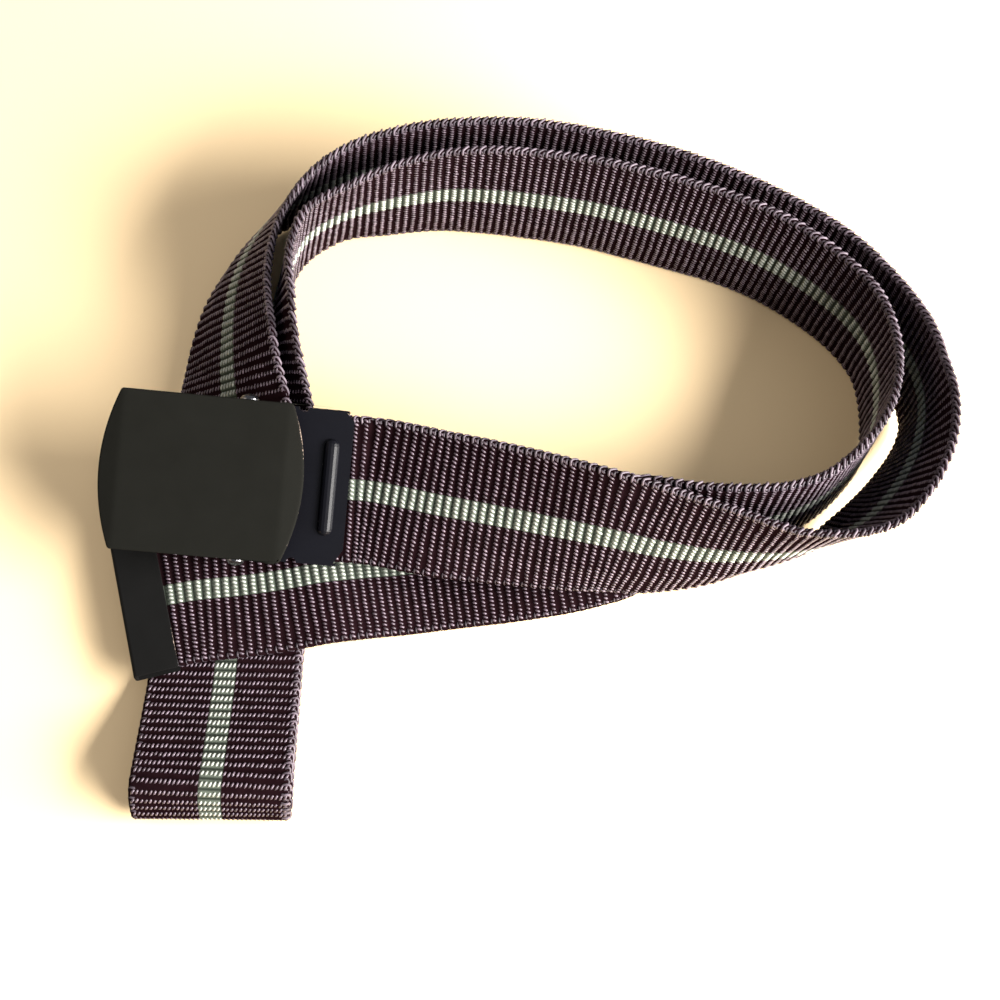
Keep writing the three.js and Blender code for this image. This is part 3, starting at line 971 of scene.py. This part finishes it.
@dataclass
class Webbing:
    """The woven strap: its ribbed ground, the yarns over it and its two selvedges.

    A wander is how far a yarn commonly strays from its even place, length or slant. Pairs of
    curl sizes are for the upper and the lower selvedge.
    """

    route: Route
    frame: BeltFrame
    materials: Materials
    steps_per_rib: int = 4
    valley: float = 0.3
    crest: float = 0.8
    columns: int = 35
    column_pitch: float = 1.045
    stripe_columns: int = 2
    float_size: Triple = (0.8, 0.35, 0.45)
    float_height: float = 0.63
    float_slant: float = 27.0
    edge_float_scale: float = 1.08
    stripe_float_scale: float = 1.07
    wander_along: float = 0.05
    wander_across: float = 0.03
    wander_length: float = 0.06
    wander_slant: float = 4.0
    curl_foot: float = 17.45
    curl_rises: tuple[float, float] = (1.3, 1.1)
    curl_reaches: tuple[float, float] = (0.72, 0.5)
    curl_sides: tuple[int, int] = (5, 4)
    curl_wander: float = 0.07
    upright_reach: float = 0.26
    # The valley curl's shares of reach and rise, and its painted shade in the valley between ribs
    between_ribs: Triple = (0.85, 0.68, 0.3)
    edge_yarn_radius: float = 0.35
    # Painted shade on the lower edge's curls
    lower_edge_painted_shade: float = 0.15
    held_at_start: float = 26.0
    held_before_tip: float = 1.0
    seed: int = 11

    def __post_init__(self) -> None:
        """Find the pitch of the ribs and start the random numbers."""
        self.pitch = self.route.length / RIB_COUNT
        self.random = np.random.default_rng(self.seed)

    def build(self) -> list[bpy.types.Object]:
        """Build every part and tell the frame about them.

        Returns:
            All the objects of the webbing.
        """
        ground = self._ground()
        yarns = [*self._floats(), self._selvedge(Edge.UPPER), self._selvedge(Edge.LOWER)]
        for made in (ground, *yarns):
            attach(made, "belt")
        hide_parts("webbing")
        return [ground, *yarns]

    def _ground(self) -> bpy.types.Object:
        """The solid strap with a rounded rib for each weft.

        Returns:
            The object, which keeps its own coordinates along, across and out of the strap.
        """
        count = RIB_COUNT * self.steps_per_rib
        run = np.linspace(0, self.route.length, count + 1)
        sections = self.route.sections(run)
        swell = np.abs(np.sin(math.pi * run / self.pitch))
        height = self.valley + (self.crest - self.valley) * swell
        outline = [*WEB_OUTLINE, *((y, -share) for y, share in reversed(WEB_OUTLINE))]
        rings = []
        own = []
        for y, share in outline:
            place = np.full(count + 1, y)
            rings.append(sections.points(place, height * share))
            own.append(np.stack([run, place, height * share], axis=1))
        points = np.stack(rings, axis=1).reshape(-1, 3)
        values = {"own": np.stack(own, axis=1).reshape(-1, 3)}
        faces = tube_faces(count + 1, len(outline), capped=True)
        parts = MeshParts(self.frame.metres(points), faces, values)
        return make_object("webbing_ground", parts, self.materials.ground)

    def _pills(self, name: str, floats: np.ndarray, material: bpy.types.Material) -> bpy.types.Object:
        """Small slanted ovals on the faces, joined in one mesh.

        Args:
            name: The object's name.
            floats: Four rows, for the distance along the webbing, the place across it, the sign
                of the face and the scale of each oval.
            material: Their yarn.

        Returns:
            The object.
        """
        seed = bmesh.new()
        bmesh.ops.create_icosphere(seed, subdivisions=1, radius=1.0)
        shape = np.array([v.co[:] for v in seed.verts])
        faces = np.array([[v.index for v in f.verts] for f in seed.faces])
        seed.free()
        run, y, face, size = floats
        count = len(run)
        wander = self.random.normal(0.0, 1.0, (count, 4))
        sections = self.route.sections(run + self.wander_along * wander[:, 0])
        across, out = sections.directions(y)
        out = out * face[:, None]
        slant = np.radians(self.float_slant + self.wander_slant * wander[:, 1])[:, None]
        hand = -face[:, None]
        long_way = np.cos(slant) * sections.along + hand * np.sin(slant) * across
        short_way = np.cross(out, long_way)
        scale = np.array(self.float_size) * size[:, None]
        scale[:, 0] *= 1 + self.wander_length * wander[:, 2]
        middle = sections.points(y + self.wander_across * wander[:, 3], face * self.float_height)
        points = middle[:, None, :]
        for k, way in enumerate((long_way, short_way, out)):
            points = points + shape[None, :, k, None] * (scale[:, k, None] * way)[:, None, :]
        stack = (faces[None, :, :] + (np.arange(count) * len(shape))[:, None, None]).reshape(-1, 3)
        tone_and_painted_shade = np.repeat(self.random.random(count), len(shape))
        parts = MeshParts(self.frame.metres(points.reshape(-1, 3)), stack, {"tone_and_painted_shade": tone_and_painted_shade})
        return make_object(name, parts, material)

    def _floats(self) -> list[bpy.types.Object]:
        """The yarns over the ribs: dark ones by stretch, and the light ones of the stripe.

        Returns:
            An object for each stretch, and then the stripe's.
        """
        signs = np.array([face.value for face in Face])
        ribs, columns = np.arange(RIB_COUNT), np.arange(self.columns)
        rib, column, face = (a.ravel() for a in np.meshgrid(ribs, columns, signs, indexing="ij"))
        middle = self.columns // 2
        light = np.abs(column - middle) <= self.stripe_columns
        size = np.where(np.abs(column - middle) >= middle - 1, self.edge_float_scale, 1.0)
        size = np.where(light, self.stripe_float_scale, size)
        run = (rib + 0.5) * self.pitch
        y = (column - middle) * self.column_pitch
        floats = np.stack([run, y, face, size])
        made = []
        for number, stretch in enumerate(STRETCHES):
            here = ~light & (rib * len(STRETCHES) // RIB_COUNT == number)
            made.append(self._pills(f"weave_{stretch}", floats[:, here], self.materials.dark_yarn))
        made.append(self._pills("weave_stripe", floats[:, light], self.materials.light_yarn))
        return made

    def _selvedge(self, edge: Edge) -> bpy.types.Object:
        """The curls along one edge, from one face over the edge to the other.

        Each rib has one, and a smaller one follows it in the valley, darker there as painted shade; the
        lower edge's curls are darker still, as painted shade.

        Args:
            edge: The edge that they go over.

        Returns:
            The object.
        """
        beside, along, rise = np.array(CURL).T
        count = 2 * RIB_COUNT
        # shade is 1 on a rib's curl and lower on the valley's curl: painted shade in the valley
        pair = np.array([(1.0, 1.0, 1.0), self.between_ribs])
        reach_share, rise_share, shade = np.tile(pair.T, RIB_COUNT)
        wander = self.random.normal(0.0, self.curl_wander, (count, 2))
        middle = (np.arange(count) + 1) * self.pitch / 2 + wander[:, 0]
        run = np.clip(middle[:, None] + along * self.pitch, 0, self.route.length).ravel()
        last = self.route.length - TIP_BITE - self.held_before_tip
        held = (middle < self.held_at_start) | (middle > last)
        upright = self.route.sections(middle).across[:, 2] ** 2
        wider = np.where(held, 0.0, self.upright_reach * upright + wander[:, 1])
        number = 0 if edge is Edge.UPPER else 1
        reach = self.curl_reaches[number] + (wider if edge is Edge.UPPER else 0.0)
        heights = self.curl_rises[number] * rise_share[:, None] * rise
        y = edge.value * (self.curl_foot + heights).ravel()
        sections = self.route.sections(run)
        across, out = sections.directions(y)
        over = edge.value * np.tile(np.maximum(rise, 0), count)[:, None] * across
        ups = unit(over + np.tile(beside, count)[:, None] * out).reshape(count, len(CURL), 3)
        heights_over = (beside * (reach * reach_share)[:, None]).ravel()
        paths = sections.points(y, heights_over).reshape(count, len(CURL), 3)
        around = self.curl_sides[number]
        curl_tones_and_painted_shade = shade * self.random.random(count)
        # Painted shade: the lower edge's curls are darkened
        if edge is Edge.LOWER:
            curl_tones_and_painted_shade = curl_tones_and_painted_shade * self.lower_edge_painted_shade
        return self._tubes(f"selvedge_{edge.name.lower()}", paths, ups, around, curl_tones_and_painted_shade)

    def _tubes(
        self, name: str, paths: np.ndarray, ups: np.ndarray, around: int, curl_tones_and_painted_shade: np.ndarray
    ) -> bpy.types.Object:
        """Round yarns along paths, joined in one mesh.

        Args:
            name: The object's name.
            paths: Points of each path, as paths by steps by three.
            ups: A direction at each point that isn't the path's own.
            around: How many sides each yarn has.
            curl_tones_and_painted_shade: A random tint for each path, times its painted shade.

        Returns:
            The object.
        """
        count, steps = paths.shape[:2]
        tangent = unit(np.gradient(paths, axis=1))
        side = unit(np.cross(ups, tangent))
        up = np.cross(tangent, side)
        angle = (np.arange(around) / around * 2 * math.pi)[None, None, :, None]
        ring = np.cos(angle) * side[:, :, None, :] + np.sin(angle) * up[:, :, None, :]
        points = paths[:, :, None, :] + self.edge_yarn_radius * ring
        one = tube_faces(steps, around, capped=False)
        stack = (one[None] + (np.arange(count) * steps * around)[:, None, None]).reshape(-1, 4)
        tone_and_painted_shade = np.repeat(curl_tones_and_painted_shade, steps * around)
        parts = MeshParts(self.frame.metres(points.reshape(-1, 3)), stack, {"tone_and_painted_shade": tone_and_painted_shade})
        return make_object(name, parts, self.materials.edge_yarn)


@dataclass
class Buckle:
    """The box buckle: the face cover is made here, and the other pieces keep their solids."""

    frame: BeltFrame
    materials: Materials
    nodes: dict[str, bpy.types.Object]
    half_length: float = 21.0
    half_width: float = 19.9
    bow: float = 4.1
    top: float = 8.3
    sheet: float = 0.9
    flap_from: float = 20.3
    flap_slope: float = 0.2
    flap_bend: float = 1.0
    corner: float = 0.6
    rim: float = 0.35
    cells: tuple[int, int] = (70, 46)
    level_from: float = 0.7
    upright_up_to: float = 0.5
    worn_reach: float = 0.6
    worn_spot: tuple[float, float] = (12.0, 4.5)
    worn_along: float = 0.42
    worn_at_spot: float = 0.25

    def build(self) -> list[bpy.types.Object]:
        """Build the cover and dress the other pieces.

        Returns:
            The cover and the dressed pieces.
        """
        cover = self._cover()
        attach(cover, "belt")
        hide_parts("face_plate")
        frame = self._dress("buckle_frame", self.materials.frame_coat)
        clamp = self._dress("back_clamp", self.materials.frame_coat)
        bar = self._dress("roller_bar", self.materials.bare)
        return [cover, frame, clamp, bar]

    def _dress(self, name: str, material: bpy.types.Material) -> bpy.types.Object:
        """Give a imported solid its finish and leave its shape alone.

        Args:
            name: The solid's name.
            material: What it is made of.

        Returns:
            The solid.
        """
        solid = self.nodes[name]
        solid.data.materials.clear()
        solid.data.materials.append(material)
        return solid

    def _cover(self) -> bpy.types.Object:
        """The face: a sheet with bowed ends that bend softly down, and a rounded rim.

        Returns:
            The object.
        """
        shape = bmesh.new()
        bmesh.ops.create_grid(shape, x_segments=self.cells[0], y_segments=self.cells[1], size=1.0)
        for vert in shape.verts:
            vert.co = self._on_top(vert.co.x, vert.co.y)
        grown = bmesh.ops.extrude_face_region(shape, geom=shape.faces[:])
        under = [item for item in grown["geom"] if isinstance(item, bmesh.types.BMVert)]
        bmesh.ops.translate(shape, verts=under, vec=(0.0, 0.0, -self.sheet))
        bmesh.ops.recalc_face_normals(shape, faces=shape.faces[:])
        corners = [edge for edge in shape.edges if self._at_corner(edge)]
        round_edges(shape, corners, self.corner, segments=4)
        shape.normal_update()
        rim = [edge for edge in shape.edges if self._on_rim(edge)]
        round_edges(shape, rim, self.rim, segments=3)
        return finish_shape("face_cover", shape, self._placed, self._wear, self.materials.coated)

    def _placed(self, own: np.ndarray) -> np.ndarray:
        """Points of the buckle's own frame, taken to metres."""
        return self.frame.metres(self.frame.from_buckle(own))

    def _on_top(self, share_x: float, share_y: float) -> Triple:
        """A point of the top surface.

        Args:
            share_x: Its place along, from -1 at one end to 1 at the other.
            share_y: Its place across, from -1 to 1.

        Returns:
            The point.
        """
        x = share_x * (self.half_length + self.bow * (1 - share_y**2))
        past = abs(x) - self.flap_from
        bend = min(max(past + self.flap_bend / 2, 0.0), self.flap_bend)
        straight = max(0.0, past - self.flap_bend / 2)
        drop = self.flap_slope * (bend**2 / (2 * self.flap_bend) + straight)
        return x, share_y * self.half_width, self.top - drop

    def _at_corner(self, edge: bmesh.types.BMEdge) -> bool:
        """Whether an edge is one of the four upright corners.

        Args:
            edge: The edge.

        Returns:
            True if it is.
        """
        ends = [vert.co for vert in edge.verts]
        upright = abs(ends[0].z - ends[1].z) > self.sheet / 2
        from_x, from_y = self.half_length - SMALL, self.half_width - SMALL
        return upright and all(abs(end.x) > from_x and abs(end.y) > from_y for end in ends)

    def _on_rim(self, edge: bmesh.types.BMEdge) -> bool:
        """Whether an edge lies between the top and a wall.

        Args:
            edge: The edge.

        Returns:
            True if it does.
        """
        tops = [face for face in edge.link_faces if face.normal.z > self.level_from]
        walls = [face for face in edge.link_faces if abs(face.normal.z) < self.upright_up_to]
        return len(tops) == 1 and len(walls) == 1

    def _wear(self, own: np.ndarray) -> np.ndarray:
        """How worn the coat is: only along the right end, and most at one spot of it.

        Args:
            own: Points of the buckle's own frame.

        Returns:
            A number for each point.
        """
        x, y, _ = own.T
        end = self.half_length + self.bow * (1 - (y / self.half_width) ** 2)
        near = np.clip(1 - (end - x) / self.worn_reach, 0, 1)
        middle, spread = self.worn_spot
        spot = np.exp(-(((y - middle) / spread) ** 2))
        return near * (self.worn_along + self.worn_at_spot * spot)


@dataclass
class BeltTip:
    """The metal tip folded over the free end."""

    route: Route
    frame: BeltFrame
    materials: Materials
    length: float = 11.0
    width: float = 38.8
    sheet: float = 0.6
    clearance: float = 0.4
    bend: float = 0.9
    bend_steps: int = 5
    edge: float = 0.12
    worn_mouth: float = 0.45
    worn_bend: float = 0.8
    worn_spot: tuple[float, float] = (-13.0, 4.0)
    spot_share: float = 0.4
    mouth_wear: float = 0.62
    bend_wear: float = 0.35

    def __post_init__(self) -> None:
        """Work out the heights of the sheet and where its bend ends."""
        self.inside = WEB_THICKNESS / 2 + self.clearance
        self.outside = self.inside + self.sheet
        self.end = self.length - TIP_BITE

    def build(self) -> bpy.types.Object:
        """Build the folded sheet with a round bend and softened edges.

        Returns:
            The tip.
        """
        shape = bmesh.new()
        outline = [shape.verts.new((x, -self.width / 2, z)) for x, z in self._profile()]
        grown = bmesh.ops.extrude_face_region(shape, geom=[shape.faces.new(outline)])
        far = [item for item in grown["geom"] if isinstance(item, bmesh.types.BMVert)]
        bmesh.ops.translate(shape, verts=far, vec=(0.0, self.width, 0.0))
        bmesh.ops.recalc_face_normals(shape, faces=shape.faces[:])
        outer = [edge for edge in shape.edges if self._is_outer_edge(edge)]
        round_edges(shape, outer, self.edge, segments=2)
        long_edges = [edge for edge in shape.edges if edge.calc_length() > self.width / 2]
        bmesh.ops.subdivide_edges(shape, edges=long_edges, cuts=24)
        made = finish_shape("tip_shell", shape, self._placed, self._wear, self.materials.tip)
        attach(made, "belt")
        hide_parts("belt_tip")
        return made

    def _placed(self, own: np.ndarray) -> np.ndarray:
        """Points beside the webbing's end, taken to metres.

        Args:
            own: Rows of distance past the end, place across and height out of the face.

        Returns:
            The rows in metres.
        """
        section = self.route.sections(np.array([self.route.length]))
        axes = np.vstack([section.along, section.across, section.out])
        return self.frame.metres(section.centre + own @ axes)

    def _profile(self) -> list[tuple[float, float]]:
        """The folded sheet's outline, its first half outside and its second half inside.

        Returns:
            Pairs of distance past the webbing's end and height.
        """
        outer = [(-TIP_BITE, -self.outside), (self.worn_mouth - TIP_BITE, -self.outside)]
        inner = [(-TIP_BITE, -self.inside)]
        small = self.bend - self.sheet
        middle_x = self.end - self.bend
        for corner, start in ((-1, -90), (1, 0)):
            outer_z = corner * (self.outside - self.bend)
            inner_z = corner * (self.inside - small)
            for k in range(self.bend_steps + 1):
                angle = math.radians(start + 90 * k / self.bend_steps)
                way_x, way_z = math.cos(angle), math.sin(angle)
                outer.append((middle_x + self.bend * way_x, outer_z + self.bend * way_z))
                inner.append((middle_x + small * way_x, inner_z + small * way_z))
        outer += [(self.worn_mouth - TIP_BITE, self.outside), (-TIP_BITE, self.outside)]
        inner.append((-TIP_BITE, self.inside))
        return [*outer, *reversed(inner)]

    def _is_outer_edge(self, edge: bmesh.types.BMEdge) -> bool:
        """Whether an edge goes round one side of the outer surface or along its mouth.

        Args:
            edge: The edge.

        Returns:
            True if it does.
        """
        first, second = (vert.co for vert in edge.verts)
        from_z, from_x = self.outside - self.sheet / 2, self.end - self.sheet / 2
        outer = all(abs(end.z) > from_z or end.x > from_x for end in (first, second))
        at_side = abs(first.y - second.y) < SMALL
        at_mouth = max(first.x, second.x) < SMALL - TIP_BITE and first.z * second.z > 0
        return outer and (at_side or at_mouth)

    def _wear(self, own: np.ndarray) -> np.ndarray:
        """Worn along the mouth's edge, most near its lower corner, and a little at the bend.

        Args:
            own: Points of the tip's own coordinates.

        Returns:
            A number for each point.
        """
        x, y, _ = own.T
        mouth = np.clip(1 - (x + TIP_BITE) / self.worn_mouth, 0, 1)
        bend = np.clip((x - self.end + self.worn_bend) / self.worn_bend, 0, 1)
        middle, spread = self.worn_spot
        spot = np.exp(-(((y - middle) / spread) ** 2))
        along = self.mouth_wear * mouth * (1 - self.spot_share + self.spot_share * spot)
        return along + self.bend_wear * bend


@dataclass
class Table:
    """The pale table top under the belt."""

    half: float = 2.5
    dark: Triple = (0.80, 0.61, 0.36)
    light: Triple = (0.85, 0.66, 0.40)

    def build(self) -> bpy.types.Object:
        """Build the top and keep it out of the object.

        Returns:
            The table top.
        """
        n = Nodes("pale_table")
        place = n.object_place()
        cloud = n.noise(place, scale=2.2)
        paint = n.noise(place, scale=900.0, detail=2.0)
        material = n.finish(
            Base_Color=n.mix(cloud, self.dark, self.light),
            Roughness=n.scaled(paint, factor=0.1, shift=0.5),
            Specular_IOR_Level=0.3,
            Normal=n.bump(paint, strength=0.05, distance=0.0001),
        )
        shape = bmesh.new()
        bmesh.ops.create_grid(shape, x_segments=1, y_segments=1, size=self.half)
        mesh = bpy.data.meshes.new("table_top")
        shape.to_mesh(mesh)
        shape.free()
        mesh.materials.append(material)
        top = bpy.data.objects.new("table_top", mesh)
        bpy.context.scene.collection.objects.link(top)
        return top


@dataclass(frozen=True)
class SoftLight:
    """A flat lamp: where it is, what it points at, its size, strength and colour."""

    name: str
    place: Triple
    target: Triple
    size: tuple[float, float]
    watts: float
    colour: Triple


@dataclass
class Lighting:
    """Daylight from a window on the right, a weak warm bounce from the left and a weak sky."""

    sky: Triple = (0.90, 0.93, 1.0)
    sky_strength: float = 0.43
    lamps: tuple[SoftLight, ...] = (
        SoftLight("window", (0.62, -0.25, 0.37), (0.0, 0.0, 0.0), (0.75, 0.42), 45.0, (1.0, 0.97, 0.93)),
        SoftLight("bounce", (-0.9, 0.1, 0.5), (-0.05, 0.0, 0.0), (0.8, 0.5), 4.0, (1.0, 0.83, 0.63)),
    )

    def build(self) -> None:
        """Build the lamps and the sky."""
        for lamp in self.lamps:
            data = bpy.data.lights.new(lamp.name, "AREA")
            data.shape = "RECTANGLE"
            data.size, data.size_y = lamp.size
            data.energy = lamp.watts
            data.color = lamp.colour
            made = bpy.data.objects.new(lamp.name, data)
            made.location = lamp.place
            way = Vector(lamp.target) - Vector(lamp.place)
            made.rotation_euler = way.to_track_quat("-Z", "Y").to_euler()
            bpy.context.scene.collection.objects.link(made)
        world = bpy.data.worlds.new("sky")
        world.use_nodes = True
        background = world.node_tree.nodes["Background"]
        background.inputs["Color"].default_value = (*self.sky, 1.0)
        background.inputs["Strength"].default_value = self.sky_strength
        bpy.context.scene.world = world


@dataclass
class Camera:
    """The photograph's view."""

    frame: BeltFrame
    place: Triple = (-30.4, -129.5, 316.0)
    right: Triple = (0.9954, 0.0, 0.0959)
    down: Triple = (0.0362, -0.9259, -0.3760)
    forward: Triple = (0.0888, 0.3778, -0.9216)
    lens: float = 45.0
    sensor: float = 36.0
    nearest: float = 0.01

    def build(self) -> None:
        """Build the camera and make it the scene's."""
        data = bpy.data.cameras.new("photo_view")
        data.lens = self.lens
        data.sensor_width = self.sensor
        data.clip_start = self.nearest
        made = bpy.data.objects.new("photo_view", data)
        columns = (Vector(self.right), -Vector(self.down), -Vector(self.forward))
        turn = Matrix(columns).transposed().to_4x4()
        made.matrix_world = Matrix.Translation(self.frame.metres(np.array(self.place))) @ turn
        bpy.context.scene.collection.objects.link(made)
        bpy.context.scene.camera = made


def main() -> None:
    """Build the dressed belt in order."""
    logging.basicConfig(level=logging.INFO)
    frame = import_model()
    materials = Materials()
    belt_frame = BeltFrame()
    route = Route(belt_frame)
    LOG.info("webbing is %.1f mm long", route.length)
    Table().build()
    webbing = Webbing(route, belt_frame, materials).build()
    buckle = Buckle(belt_frame, materials, frame["nodes"]).build()
    tip = BeltTip(route, belt_frame, materials).build()
    made = [*webbing, *buckle, tip]
    for piece in made:
        LOG.info("%s: %d faces", piece.name, len(piece.data.polygons))
    Lighting().build()
    Camera(belt_frame).build()
    bpy.context.scene.view_settings.view_transform = "Standard"


if __name__ == "__main__":
    main()
